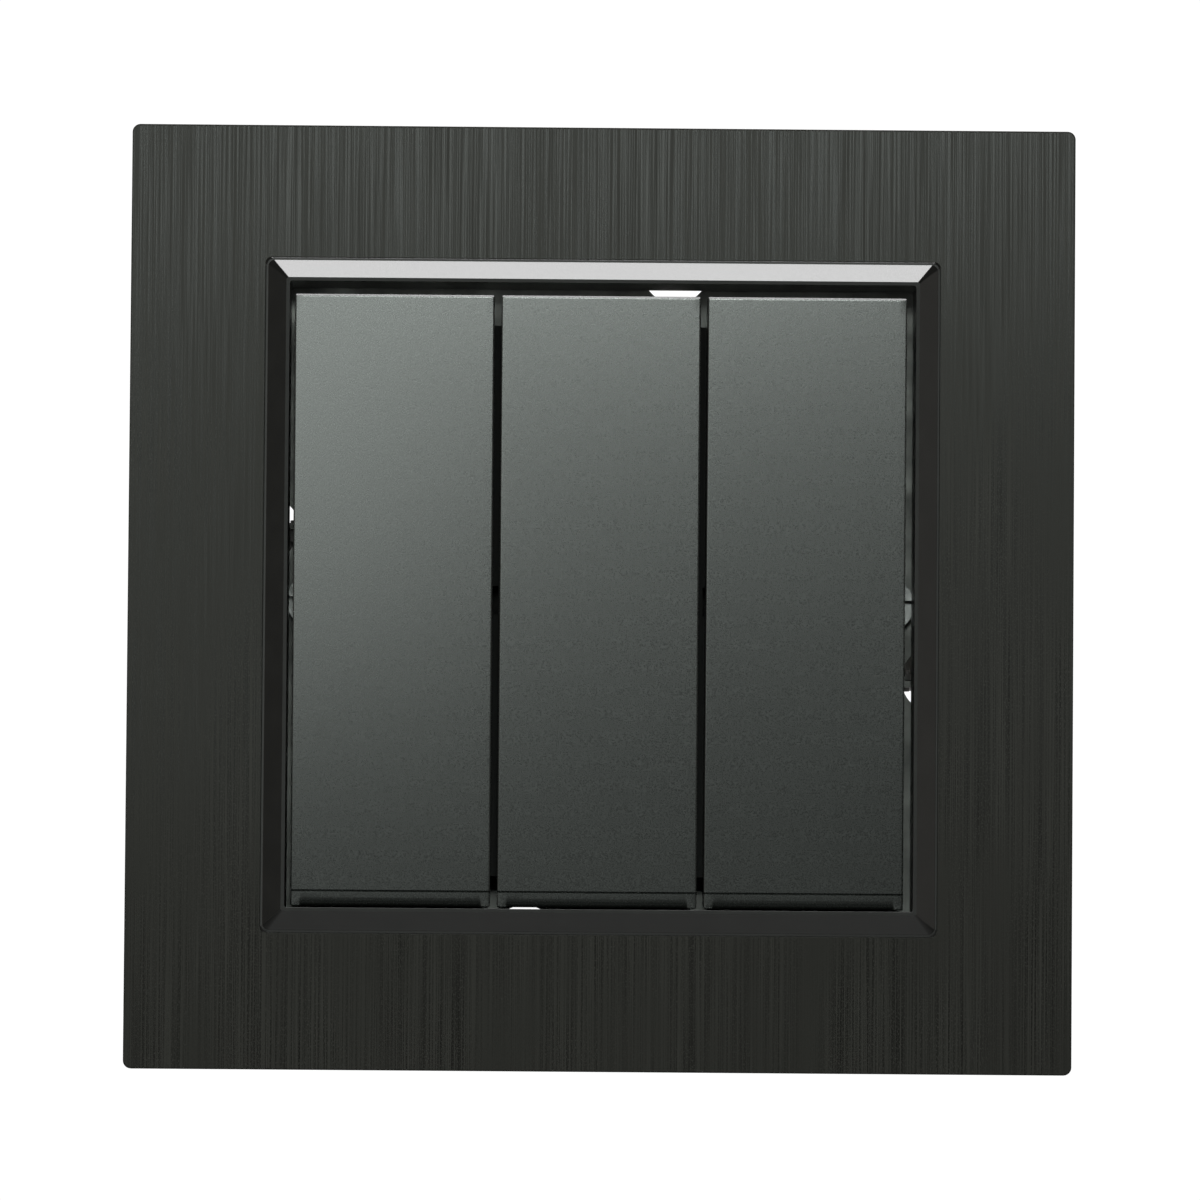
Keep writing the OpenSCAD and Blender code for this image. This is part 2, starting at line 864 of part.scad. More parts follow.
// Screws that hold the housing and its cover against the strap
module assembly_screws() {
    head_front = -strap_t - assembly_head_t;
    color(STEEL)
        for (x = [-1, 1], z = [-1, 1])
            translate([x * post_x, 0, z * post_z])
                difference() {
                    union() {
                        y_rod(assembly_head_r, head_front, -strap_t);
                        y_rod(assembly_r, -strap_t - eps, assembly_end);
                    }
                    block([-assembly_head_r - 1, head_front - 1, -assembly_slot_w / 2],
                          [assembly_head_r + 1, head_front + assembly_head_t / 2,
                           assembly_slot_w / 2]);
                }
}

face_plate();
frame_base();
mounting_strap();
mechanism_cover();
mechanism_body();
for (i = [0:2]) {
    key(i);
    actuator(i);
    plunger(i);
    plunger_spring(i);
    moving_contact(i);
    moving_tip(i);
    fixed_contact(i);
}
fixed_tips();
common_bar();
for (i = [0:3]) {
    terminal_clamp(i);
    terminal_screw(i);
}
for (i = [0:1]) {
    claw_screw(i);
    claw_nut(i);
    claw_arm(i);
}
claw_pins();
assembly_screws();
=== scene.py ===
import json
import math

import bmesh
import bpy
from mathutils import Matrix, Vector


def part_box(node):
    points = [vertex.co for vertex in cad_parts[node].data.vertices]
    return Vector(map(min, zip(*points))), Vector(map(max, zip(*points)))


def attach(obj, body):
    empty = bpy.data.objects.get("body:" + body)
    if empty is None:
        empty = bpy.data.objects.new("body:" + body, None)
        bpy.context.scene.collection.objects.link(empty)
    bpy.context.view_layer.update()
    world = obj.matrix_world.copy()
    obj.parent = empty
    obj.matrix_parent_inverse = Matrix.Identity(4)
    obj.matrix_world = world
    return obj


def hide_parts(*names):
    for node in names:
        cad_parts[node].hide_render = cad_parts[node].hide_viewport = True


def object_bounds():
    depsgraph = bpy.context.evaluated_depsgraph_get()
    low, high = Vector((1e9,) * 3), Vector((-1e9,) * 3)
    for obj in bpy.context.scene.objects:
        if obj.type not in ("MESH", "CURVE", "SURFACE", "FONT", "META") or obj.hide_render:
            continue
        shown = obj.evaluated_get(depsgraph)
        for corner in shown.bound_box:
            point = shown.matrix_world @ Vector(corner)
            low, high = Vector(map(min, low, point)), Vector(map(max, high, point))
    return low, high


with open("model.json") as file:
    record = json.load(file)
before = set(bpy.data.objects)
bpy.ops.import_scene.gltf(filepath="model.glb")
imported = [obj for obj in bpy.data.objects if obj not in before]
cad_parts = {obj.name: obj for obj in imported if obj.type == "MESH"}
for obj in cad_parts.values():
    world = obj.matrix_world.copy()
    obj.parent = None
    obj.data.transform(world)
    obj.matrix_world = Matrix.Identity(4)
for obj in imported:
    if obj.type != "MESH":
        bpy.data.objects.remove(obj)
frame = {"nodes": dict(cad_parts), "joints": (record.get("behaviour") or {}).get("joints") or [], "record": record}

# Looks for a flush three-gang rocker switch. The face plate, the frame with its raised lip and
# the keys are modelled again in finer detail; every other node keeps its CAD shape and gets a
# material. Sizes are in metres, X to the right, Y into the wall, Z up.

MM = 0.001
SIDES = ("left", "middle", "right")
cad_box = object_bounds()
joints = {joint["name"]: joint for joint in frame["joints"]}


# ---------------------------------------------------------------- mesh helpers

def make_piece(name, bm, sharp_angle=35):
    """Turns a bmesh into a linked object, smooth apart from edges over sharp_angle degrees."""
    bmesh.ops.recalc_face_normals(bm, faces=bm.faces)
    mesh = bpy.data.meshes.new(name)
    bm.to_mesh(mesh)
    bm.free()
    mesh.shade_smooth()
    mesh.set_sharp_from_angle(angle=math.radians(sharp_angle))
    piece = bpy.data.objects.new(name, mesh)
    bpy.context.scene.collection.objects.link(piece)
    flatten = piece.modifiers.new("even_shading", "WEIGHTED_NORMAL")
    flatten.keep_sharp = True
    flatten.weight = 100
    return piece


def square_ring(half, radius, depth, lift=0.0, corner_steps=8):
    """Points of a square with round corners, at one depth along Y, its middle raised by lift."""
    points = []
    for turn in range(4):
        middle = math.radians(45 + 90 * turn)
        centre = Vector((math.cos(middle), 0, math.sin(middle))) * (half - radius) * math.sqrt(2)
        for step in range(corner_steps + 1):
            angle = middle + math.radians(90 * (step / corner_steps - 0.5))
            rim = Vector((math.cos(angle), 0, math.sin(angle))) * radius
            points.append(centre + rim + Vector((0, depth, lift)))
    return points


def loft_loop(bm, rings):
    """Joins a closed loop of rings with quads, so that the solid between them is closed."""
    made = [[bm.verts.new(point) for point in ring] for ring in rings]
    for ring, following in zip(made, made[1:] + made[:1]):
        for k in range(len(ring)):
            nxt = (k + 1) % len(ring)
            bm.faces.new((ring[k], ring[nxt], following[nxt], following[k]))
    return made


def add_box(bm, low, high, bevel=0.0):
    """Adds a block between two corners, with its edges taken off."""
    low, high = Vector(low), Vector(high)
    made = bmesh.ops.create_cube(bm, size=1.0)["verts"]
    middle, size = (low + high) / 2, high - low
    for vert in made:
        vert.co = middle + Vector(c * s for c, s in zip(vert.co, size))
    if bevel:
        edges = {edge for vert in made for edge in vert.link_edges}
        bmesh.ops.bevel(bm, geom=list(edges), offset=bevel, segments=2, profile=0.5,
                        affect="EDGES")


def arc(centre, radius, start, end, steps):
    """(a, b) points on an arc, angles in degrees."""
    angles = [math.radians(start + (end - start) * k / steps) for k in range(steps + 1)]
    return [(centre[0] + radius * math.cos(a), centre[1] + radius * math.sin(a)) for a in angles]


# ---------------------------------------------------------------- face plate and frame

def half_opening(node):
    """Half width of the square hole in the middle of a node."""
    return min(max(abs(v.co.x), abs(v.co.z)) for v in frame["nodes"][node].data.vertices)


def lift_of_opening(node, half):
    """How far the middle of a node's square hole lies above the node's own middle."""
    edges = [v.co.z for v in frame["nodes"][node].data.vertices
             if abs(abs(v.co.x) - half) < 0.01 * MM]
    return (min(edges) + max(edges)) / 2


plate_low, plate_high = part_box("face_plate")
base_low, base_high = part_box("frame_base")
PLATE_HALF = plate_high.x
PLATE_FRONT = plate_low.y
PLATE_BACK = plate_high.y
BASE_HALF = base_high.x
OPENING_HALF = half_opening("frame_base")
LIP_FOOT_HALF = half_opening("face_plate")
LIP_LIFT = lift_of_opening("face_plate", LIP_FOOT_HALF)
RIDGE_Y = base_low.y

PLATE_CORNER = 0.7 * MM
PLATE_EDGE = 0.16 * MM
FOOT_CORNER = 0.55 * MM
FOOT_WIDTH = 0.25 * MM
FOOT_RISE = 0.08 * MM
RIDGE_WIDTH = 0.3 * MM
RIDGE_EDGE = 0.03 * MM
FRAME_WALL = 1.5 * MM
COLLAR_WALL = 1.2 * MM
COLLAR_BACK = -3.5 * MM
RIM_EDGE = 0.2 * MM
LIP_CORNER = 0.22 * MM
SKIRT_CORNER = 0.15 * MM

# Clip ribs beside the strap's tabs, their nubs and the corner posts
RIB_IN, RIB_OUT, RIB_HALF = 36.2 * MM, 37.4 * MM, 8 * MM
RIB_BACK = -1.5 * MM
NUB_IN, NUB_HALF = 35.7 * MM, 4 * MM
NUB_FRONT, NUB_BACK = -2.6 * MM, -1.8 * MM
POST_PLACE, POST_HALF, POST_BACK = 33.5 * MM, 1.5 * MM, -3 * MM
RIB_EDGE = 0.15 * MM
POST_EDGE = 0.4 * MM
OVERLAP = 0.3 * MM


def build_face_plate():
    """The brushed sheet: a square ring with softly broken edges."""
    outer = arc((PLATE_HALF - PLATE_EDGE, PLATE_FRONT + PLATE_EDGE), PLATE_EDGE, 0, -90, 4)
    inner = arc((LIP_FOOT_HALF + PLATE_EDGE / 2, PLATE_FRONT + PLATE_EDGE / 2),
                PLATE_EDGE / 2, 270, 180, 3)
    profile = [(PLATE_HALF, PLATE_BACK)] + outer + inner + [(LIP_FOOT_HALF, PLATE_BACK)]
    rings = []
    for half, depth in profile:
        near_lip = half < (PLATE_HALF + LIP_FOOT_HALF) / 2
        inset = PLATE_HALF - half
        radius = FOOT_CORNER + half - LIP_FOOT_HALF if near_lip else PLATE_CORNER - inset
        rings.append(square_ring(half, radius, depth, LIP_LIFT if near_lip else 0))
    bm = bmesh.new()
    loft_loop(bm, rings)
    return make_piece("brushed_face", bm)


def build_frame():
    """The moulded frame: skirt, web, collar and the gloss lip with its round foot and ridge."""
    ridge_outer = OPENING_HALF + RIDGE_WIDTH
    foot_inner = LIP_FOOT_HALF - FOOT_WIDTH
    foot_top = PLATE_FRONT - FOOT_RISE
    skirt_inner = BASE_HALF - FRAME_WALL
    web_back = PLATE_BACK + FRAME_WALL
    collar_outer = OPENING_HALF + COLLAR_WALL
    rim = RIM_EDGE
    slope = math.degrees(math.atan2(foot_top - RIDGE_Y, foot_inner - ridge_outer))
    ridge_middle = RIDGE_Y + RIDGE_EDGE
    ridge_turn = (arc((ridge_outer, ridge_middle), RIDGE_EDGE, slope - 90, -90, 3)
                  + arc((OPENING_HALF + RIDGE_EDGE, ridge_middle), RIDGE_EDGE, -90, -180, 4))
    foot_turn = [(LIP_FOOT_HALF, PLATE_FRONT),
                 (LIP_FOOT_HALF - 0.05 * MM, PLATE_FRONT - 0.05 * MM),
                 (foot_inner + 0.06 * MM, foot_top),
                 (foot_inner, foot_top - 0.02 * MM)]
    profile = (
        [(BASE_HALF, PLATE_BACK), (LIP_FOOT_HALF, PLATE_BACK)] + foot_turn
        + ridge_turn
        + [(OPENING_HALF, COLLAR_BACK - rim), (OPENING_HALF + rim, COLLAR_BACK),
           (collar_outer - rim, COLLAR_BACK), (collar_outer, COLLAR_BACK - rim),
           (collar_outer, web_back), (skirt_inner, web_back), (skirt_inner, -rim),
           (skirt_inner + rim, 0), (BASE_HALF - rim, 0), (BASE_HALF, -rim)]
    )
    rings = []
    for half, depth in profile:
        if half > LIP_FOOT_HALF + MM:
            radius = max(PLATE_CORNER + half - BASE_HALF, SKIRT_CORNER)
        else:
            radius = LIP_CORNER + max(0.0, half - ridge_outer) * 0.2
        inside = half < skirt_inner - MM
        rings.append(square_ring(half, radius, depth, LIP_LIFT if inside else 0))
    bm = bmesh.new()
    loft_loop(bm, rings)
    add_frame_ribs(bm)
    return make_piece("gloss_lip_frame", bm, 30)


def add_frame_ribs(bm):
    """Clip ribs beside the strap's tabs, with their nubs, and the corner posts."""
    for side in (-1, 1):
        ends = sorted((side * RIB_IN, side * RIB_OUT))
        add_box(bm, (ends[0], PLATE_BACK, -RIB_HALF), (ends[1], RIB_BACK, RIB_HALF), RIB_EDGE)
        ends = sorted((side * NUB_IN, side * (RIB_IN + OVERLAP)))
        add_box(bm, (ends[0], NUB_FRONT, -NUB_HALF), (ends[1], NUB_BACK, NUB_HALF), RIB_EDGE)
        for up in (-1, 1):
            place = Vector((side * POST_PLACE, 0, up * POST_PLACE))
            reach = Vector((POST_HALF, 0, POST_HALF))
            add_box(bm, place - reach + Vector((0, PLATE_BACK + MM, 0)),
                    place + reach + Vector((0, POST_BACK, 0)), POST_EDGE)


# ---------------------------------------------------------------- keys

KEY_EDGE = 0.15 * MM
KEY_CHAMFER = 0.17 * MM
KEY_CHAMFER_SLOPE = 0.86
KEY_WALL = 1.2 * MM
KEY_FACE = 1.4 * MM
GROOVE_Z = 1.35 * MM
GROOVE_HALF = 0.09 * MM
GROOVE_DEPTH = 0.15 * MM
SCOOP_H = 0.8 * MM
SCOOP_D = 0.8 * MM
CHEEK_W = 0.75 * MM
CHEEK_TURN = 0.25 * MM
CHEEK_STEPS = 5

# Cross ribs inside a key and the hooks that hold it on its actuator
KEY_RIBS = (-18 * MM, -13 * MM, 13 * MM, 18 * MM)
KEY_RIB_HALF = 0.5 * MM
KEY_RIB_DEPTH = 2 * MM
KEY_RIB_EDGE = 0.12 * MM
KEY_RIB_ROOT = 0.05 * MM
HOOK_HALF, HOOK_IN, HOOK_OUT, HOOK_BACK = 3 * MM, 8.1 * MM, 9.3 * MM, -6.7 * MM


def stations(low, high, edge, step, extra=()):
    """Places across a key: close together on its round edges, evenly spaced between."""
    turns = [math.sin(math.radians(15 * k)) * edge for k in range(7)]
    count = round((high - low - 2 * edge) / step)
    places = [low + edge - t for t in turns] + [high - edge + t for t in turns]
    places += [low + edge + (high - low - 2 * edge) * k / count for k in range(1, count)]
    places += list(extra)
    kept = []
    for place in sorted(places):
        if not kept or place - kept[-1] > 0.004 * MM:
            kept.append(place)
    return kept


def smooth_step(x):
    """0 below 0, 1 above 1, and an even S between."""
    x = min(1.0, max(0.0, x))
    return x * x * (3 - 2 * x)


def level_shape(node, tilt, pivot):
    """Lowest and highest corner of a tilted key, turned back level."""
    back = Matrix.Rotation(-tilt, 3, "X")
    points = [back @ (v.co - pivot) + pivot for v in frame["nodes"][node].data.vertices]
    low = Vector(min(p[k] for p in points) for k in range(3))
    high = Vector(max(p[k] for p in points) for k in range(3))
    return low, high


def key_depth_at(x, z, low, high):
    """How far a point of the key's front lies behind its face, and where it moves in plan."""
    over_x = max(0.0, low.x + KEY_EDGE - x, x - high.x + KEY_EDGE) / KEY_EDGE
    over_z = max(0.0, low.z + KEY_EDGE - z, z - high.z + KEY_EDGE) / KEY_EDGE
    round_x = over_x * math.sqrt(1 - over_z * over_z / 2)
    round_z = over_z * math.sqrt(1 - over_x * over_x / 2)
    depth = KEY_EDGE * (1 - math.sqrt(max(0.0, 1 - round_x ** 2 - round_z ** 2)))
    side_x = -1 if x < (low.x + high.x) / 2 else 1
    side_z = -1 if z < (low.z + high.z) / 2 else 1
    moved_x = x - side_x * KEY_EDGE * (over_x - round_x)
    moved_z = z - side_z * KEY_EDGE * (over_z - round_z)
    depth = max(depth, (z - high.z + KEY_CHAMFER) * KEY_CHAMFER_SLOPE)
    groove = max(0.0, 1 - abs(z - low.z - GROOVE_Z) / GROOVE_HALF)
    depth += GROOVE_DEPTH * groove
    from_cheek = min(x - low.x, high.x - x) - CHEEK_W
    inside = smooth_step(from_cheek / CHEEK_TURN)
    down = min(1.0, max(0.0, (low.z + SCOOP_H - z) / SCOOP_H))
    scoop = SCOOP_D * (1 - math.sqrt(1 - down * down)) if down < 1 else SCOOP_D
    return max(depth, scoop * inside + depth * (1 - inside)), moved_x, moved_z


def build_key(side):
    """A rocker key: soft round edges, a groove line and a finger scoop between two cheeks."""
    joint = joints[f"key_rock_{side}"]
    tilt = math.radians(joint["range_deg"][1]) / 2
    pivot = Vector(joint["pos_m"])
    low, high = level_shape(f"key_{side}", tilt, pivot)
    turns = [CHEEK_TURN * k / CHEEK_STEPS for k in range(CHEEK_STEPS + 1)]
    cheeks = [low.x + CHEEK_W + turn for turn in turns]
    cheeks += [high.x - CHEEK_W - turn for turn in turns]
    groove = [low.z + GROOVE_Z + GROOVE_HALF * k / 4 for k in range(-4, 5)]
    scoop = [low.z + SCOOP_H * (1 - math.sin(math.radians(10 * k))) for k in range(10)]
    xs = stations(low.x, high.x, KEY_EDGE, 1.2 * MM, cheeks)
    chamfer = [high.z - KEY_CHAMFER * k for k in (0.02, 0.5, 0.98, 1.05, 1.5)]
    zs = stations(low.z, high.z, KEY_EDGE, 1.5 * MM, groove + scoop + chamfer)
    bm = bmesh.new()
    front = []
    for z in zs:
        row = []
        for x in xs:
            depth, moved_x, moved_z = key_depth_at(x, z, low, high)
            row.append(bm.verts.new((moved_x, low.y + depth, moved_z)))
        front.append(row)
    for row, above in zip(front, front[1:]):
        for k in range(len(row) - 1):
            bm.faces.new((row[k], row[k + 1], above[k + 1], above[k]))
    loop = (front[0] + [row[-1] for row in front[1:-1]] + front[-1][::-1]
            + [row[0] for row in front[-2:0:-1]])
    add_key_shell(bm, loop, low, high)
    add_key_ribs(bm, side, low, high)
    bmesh.ops.transform(bm, matrix=Matrix.Translation(pivot) @ Matrix.Rotation(tilt, 4, "X")
                        @ Matrix.Translation(-pivot), verts=bm.verts)
    return make_piece(f"rocker_cap_{side}", bm, 28)


def add_key_shell(bm, loop, low, high):
    """Side walls down from the front's rim, their lower rim, and the hollow inside."""
    middle = (low + high) / 2
    half = Vector(((high.x - low.x) / 2, 0, (high.z - low.z) / 2))
    shrink = Vector(((half.x - KEY_WALL) / half.x, 1, (half.z - KEY_WALL) / half.z))

    def ring(y, scale):
        made = []
        for vert in loop:
            offset = vert.co - middle
            made.append(bm.verts.new((middle.x + offset.x * scale.x, y,
                                      middle.z + offset.z * scale.z)))
        return made

    full = Vector((1, 1, 1))
    rings = [loop, ring(high.y, full), ring(high.y, shrink), ring(low.y + KEY_FACE, shrink)]
    for outer, inner in zip(rings, rings[1:]):
        for k in range(len(outer)):
            nxt = (k + 1) % len(outer)
            bm.faces.new((outer[k], outer[nxt], inner[nxt], inner[k]))
    bm.faces.new(rings[-1])


def add_key_ribs(bm, side, low, high):
    """Cross ribs inside a key and the two hooks that clip it on its actuator."""
    inner = low.y + KEY_FACE
    root = inner - KEY_RIB_ROOT
    for z in KEY_RIBS:
        add_box(bm, (low.x + KEY_WALL / 2, root, z - KEY_RIB_HALF),
                (high.x - KEY_WALL / 2, inner + KEY_RIB_DEPTH, z + KEY_RIB_HALF), KEY_RIB_EDGE)
    plunger_low, plunger_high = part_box(f"plunger_{side}")
    centre = (plunger_low.x + plunger_high.x) / 2
    for up in (-1, 1):
        ends = sorted((up * HOOK_IN, up * HOOK_OUT))
        add_box(bm, (centre - HOOK_HALF, root, ends[0]),
                (centre + HOOK_HALF, HOOK_BACK, ends[1]), KEY_RIB_EDGE)


# ---------------------------------------------------------------- materials

class Material:
    """A procedural material: one Principled shader and the nodes that feed it."""

    def __init__(self, name, color, roughness, metallic=0.0, specular=0.5):
        self.data = bpy.data.materials.new(name)
        self.data.use_nodes = True
        self.tree = self.data.node_tree
        self.shader = self.tree.nodes["Principled BSDF"]
        self.place = self.tree.nodes.new("ShaderNodeTexCoord").outputs["Object"]
        self.shader.inputs["Base Color"].default_value = (*color, 1)
        self.shader.inputs["Roughness"].default_value = roughness
        self.shader.inputs["Metallic"].default_value = metallic
        self.shader.inputs["Specular IOR Level"].default_value = specular
        self.color, self.roughness = color, roughness
        self.normal = None

    def node(self, kind, inputs=(), **settings):
        """Adds a node; inputs maps a socket to a value or to another node's output."""
        made = self.tree.nodes.new(kind)
        for key, value in settings.items():
            setattr(made, key, value)
        for socket, value in dict(inputs).items():
            if isinstance(value, bpy.types.NodeSocket):
                self.tree.links.new(value, made.inputs[socket])
            else:
                made.inputs[socket].default_value = value
        return made

    def noise(self, size, stretch=(1, 1, 1), detail=2.0, rough=0.5, seed=0.0):
        """Noise with features about size across, made longer along an axis by stretch."""
        scale = [1 / (size * s) for s in stretch]
        place = self.node("ShaderNodeMapping", {
            "Vector": self.place, "Scale": scale, "Location": (seed, seed / 2, seed / 3)})
        made = self.node("ShaderNodeTexNoise", {
            "Vector": place.outputs["Vector"], "Scale": 1.0, "Detail": detail,
            "Roughness": rough})
        return made.outputs["Fac"]

    def specks(self, spacing, share, seed=0.0, through=1.0):
        """1 inside small rare dots, 0 elsewhere. A low through draws them out in depth."""
        place = self.node("ShaderNodeMapping", {
            "Vector": self.place, "Scale": (1 / spacing, through / spacing, 1 / spacing),
            "Location": (seed, seed / 2, seed / 3)})
        cells = self.node("ShaderNodeTexVoronoi", {"Vector": place.outputs["Vector"],
                                                   "Scale": 1.0})
        dot = self.between(cells.outputs["Distance"], 0.03, 0.015)
        chance = self.between(self.red(cells.outputs["Color"]), 1 - share, 1 - share * 0.8)
        return self.math("MULTIPLY", dot, chance)

    def red(self, color):
        """The red channel of a colour, as a number."""
        return self.node("ShaderNodeSeparateColor", {"Color": color}).outputs["Red"]

    def between(self, value, low, high, to_low=0.0, to_high=1.0):
        """Maps low..high to to_low..to_high, and no further."""
        made = self.node("ShaderNodeMapRange", {
            "Value": value, "From Min": low, "From Max": high,
            "To Min": to_low, "To Max": to_high}, clamp=True)
        return made.outputs["Result"]

    def math(self, operation, first, second):
        """One arithmetic step on two values."""
        made = self.node("ShaderNodeMath", {0: first, 1: second}, operation=operation)
        return made.outputs["Value"]

    def mix(self, share, first, second):
        """Mixes two colours."""
        return self.node("ShaderNodeMix", {0: share, 6: first, 7: second},
                         data_type="RGBA").outputs[2]

    def vary_color(self, share, other):
        """Turns the colour towards another one where share is high."""
        socket = self.shader.inputs["Base Color"]
        before = socket.links[0].from_socket if socket.links else (*self.color, 1)
        self.tree.links.new(self.mix(share, before, (*other, 1)), socket)

    def vary_roughness(self, share, spread):
        """Roughness from the base value minus spread to the base value plus spread."""
        value = self.between(share, 0.3, 0.7, self.roughness - spread, self.roughness + spread)
        self.tree.links.new(value, self.shader.inputs["Roughness"])

    def raise_surface(self, height, depth, strength=1.0):
        """Adds a bump layer whose relief is about depth deep."""
        inputs = {"Height": height, "Distance": depth, "Strength": strength}
        if self.normal is not None:
            inputs["Normal"] = self.normal
        self.normal = self.node("ShaderNodeBump", inputs).outputs["Normal"]
        self.tree.links.new(self.normal, self.shader.inputs["Normal"])


def brushed_sheet():
    """Black anodised sheet, brushed up and down: hair lines that gloss across the grain."""
    base = (0.0168, 0.0163, 0.0148)
    made = Material("brushed_black_sheet", base, 0.46, specular=0.1)
    made.shader.inputs["Anisotropic"].default_value = 0.95
    across = made.node("ShaderNodeTangent", direction_type="RADIAL", axis="Z")
    made.tree.links.new(across.outputs["Tangent"], made.shader.inputs["Tangent"])
    hairs = made.noise(0.06 * MM, (1, 1, 400), 1, 0.5)
    bands = made.noise(0.16 * MM, (1, 1, 200), 2, 0.6, seed=3.1)
    grit = made.noise(0.1 * MM, (1, 1, 1.5), 1, 0.5, seed=8.3)
    broad = made.noise(5 * MM, (1, 1, 4), 2, 0.5, seed=7.7)
    lines = made.math("ADD", made.math("MULTIPLY", hairs, 0.75),
                      made.math("MULTIPLY", bands, 0.25))
    gloss = made.between(lines, 0.42, 0.58)
    rough = made.math("ADD", made.math("MULTIPLY", gloss, 0.8),
                      made.math("MULTIPLY", grit, 0.2))
    made.vary_color(made.between(lines, 0.5, 0.58), [c * 1.6 for c in base])
    made.vary_color(made.between(lines, 0.5, 0.42), [c * 0.5 for c in base])
    made.vary_color(made.between(grit, 0.5, 0.72), [c * 1.8 for c in base])
    made.vary_color(made.between(broad, 0.4, 0.7), [c * 1.15 for c in base])
    made.vary_color(made.specks(4 * MM, 0.1, 0, 0.01), (0.2, 0.2, 0.18))
    made.vary_roughness(rough, 0.14)
    made.raise_surface(lines, 0.018 * MM)
    return made.data


def gloss_plastic():
    """Black moulding: polished on its slopes, satin on the ridge, matt inside the opening."""
    made = Material("gloss_black_plastic", (0.005, 0.0049, 0.0046), 0.14)
    swirl = made.noise(2.5 * MM, (1, 1, 1), 2, 0.5)
    fine = made.noise(0.3 * MM, (1, 1, 1), 3, 0.6, seed=2.2)
    surface = made.node("ShaderNodeTexCoord").outputs["Normal"]
    facing = made.node("ShaderNodeSeparateXYZ", {"Vector": surface})
    forward = made.math("ABSOLUTE", facing.outputs["Y"], 0)
    walls = made.between(forward, 0.45, 0.3, 0, 0.2)
    ridge = made.between(forward, 0.93, 0.99, 0, 0.7)
    made.vary_color(made.between(swirl, 0.4, 0.7), (0.007, 0.0068, 0.0064))
    uneven = made.between(fine, 0.3, 0.7, made.roughness - 0.02, made.roughness + 0.02)
    roughness = made.math("ADD", made.math("ADD", walls, ridge), uneven)
    made.tree.links.new(roughness, made.shader.inputs["Roughness"])
    made.raise_surface(fine, 0.0008 * MM, 0.5)
    return made.data


def key_paint():
    """Satin grey-green paint with fine orange peel, faint clouds and a few specks."""
    base = (0.0075, 0.0083, 0.0077)
    made = Material("satin_key_paint", base, 0.285)
    clouds = made.noise(14 * MM, (1, 1, 1), 3, 0.5)
    peel = made.noise(0.3 * MM, (1, 1, 1), 2, 0.5, seed=1.4)
    grit = made.noise(0.1 * MM, (1, 1, 1), 1, 0.5, seed=5.2)
    made.vary_color(made.between(clouds, 0.35, 0.65), [c * 1.2 for c in base])
    made.vary_color(made.between(grit, 0.5, 0.7), [c * 1.8 for c in base])
    made.vary_color(made.specks(5 * MM, 0.08, 0, 0.01), (0.2, 0.21, 0.2))
    made.vary_roughness(grit, 0.04)
    made.raise_surface(peel, 0.003 * MM, 0.5)
    made.raise_surface(grit, 0.003 * MM, 0.8)
    return made.data


def plated_steel(name, color, roughness, grain=(1, 1, 1)):
    """Zinc plating: bright metal with clouds, fine rolling grain and dull patches."""
    made = Material(name, color, roughness, metallic=1.0)
    clouds = made.noise(3 * MM, (1, 1, 1), 4, 0.6)
    lines = made.noise(0.12 * MM, grain, 3, 0.6, seed=2.7)
    pits = made.noise(0.25 * MM, (1, 1, 1), 3, 0.65, seed=9.1)
    made.vary_color(made.between(clouds, 0.35, 0.7), [c * 0.82 for c in color])
    made.vary_color(made.between(pits, 0.62, 0.78), [c * 0.6 for c in color])
    made.vary_roughness(clouds, 0.1)
    made.raise_surface(lines, 0.003 * MM, 0.5)
    made.raise_surface(pits, 0.004 * MM, 0.4)
    return made.data


def moulded(name, color, roughness, dirt=0.85, specular=0.45):
    """Moulded plastic: spark-eroded grain, slow colour change and rare dark specks."""
    made = Material(name, color, roughness, specular=specular)
    slow = made.noise(9 * MM, (1, 1, 1), 3, 0.5)
    grain = made.noise(0.22 * MM, (1, 1, 1), 3, 0.6, seed=4.4)
    made.vary_color(made.between(slow, 0.35, 0.7), [c * dirt for c in color])
    made.vary_color(made.specks(3 * MM, 0.15), [c * 0.45 for c in color])
    made.vary_roughness(grain, 0.07)
    made.raise_surface(grain, 0.006 * MM, 0.6)
    return made.data


def contact_metal(name, color, roughness):
    """Stamped copper alloy or silver: rolled grain with tarnish clouds."""
    made = Material(name, color, roughness, metallic=1.0)
    clouds = made.noise(2 * MM, (1, 1, 1), 4, 0.6)
    lines = made.noise(0.09 * MM, (40, 1, 1), 3, 0.6, seed=6.6)
    made.vary_color(made.between(clouds, 0.4, 0.72), [c * 0.66 for c in color])
    made.vary_roughness(clouds, 0.09)
    made.raise_surface(lines, 0.003 * MM, 0.5)
    return made.data


MATERIALS = {
    "face_sheet": brushed_sheet(),
    "frame_plastic": gloss_plastic(),
    "key_plastic": key_paint(),
    # Strap: zinc plating whose colour is set far darker than bright zinc. This is painted shade for the narrow
    # gaps round the keys, where the strap shows.
    "zinc_steel": plated_steel("zinc_sheet_darkened_as_painted_shade", (0.18, 0.18, 0.174), 0.65, (30, 1, 1)),
    "cover_plastic": moulded("black_moulding", (0.005, 0.005, 0.0048), 0.8, specular=0.2),
    "housing_plastic": moulded("ivory_moulding", (0.74, 0.73, 0.66), 0.46, 0.93),
    "actuator_plastic": moulded("white_moulding", (0.8, 0.8, 0.77), 0.4, 0.95),
    "spring_steel": plated_steel("drawn_wire", (0.5, 0.5, 0.51), 0.28),
    "plunger_brass": contact_metal("turned_brass", (0.72, 0.55, 0.24), 0.26),
    "contact_copper": contact_metal("stamped_copper", (0.72, 0.42, 0.26), 0.3),
    "contact_silver": contact_metal("riveted_silver", (0.82, 0.82, 0.8), 0.25),
    "screw_steel": plated_steel("plated_screw", (0.2, 0.2, 0.2), 0.5),
}


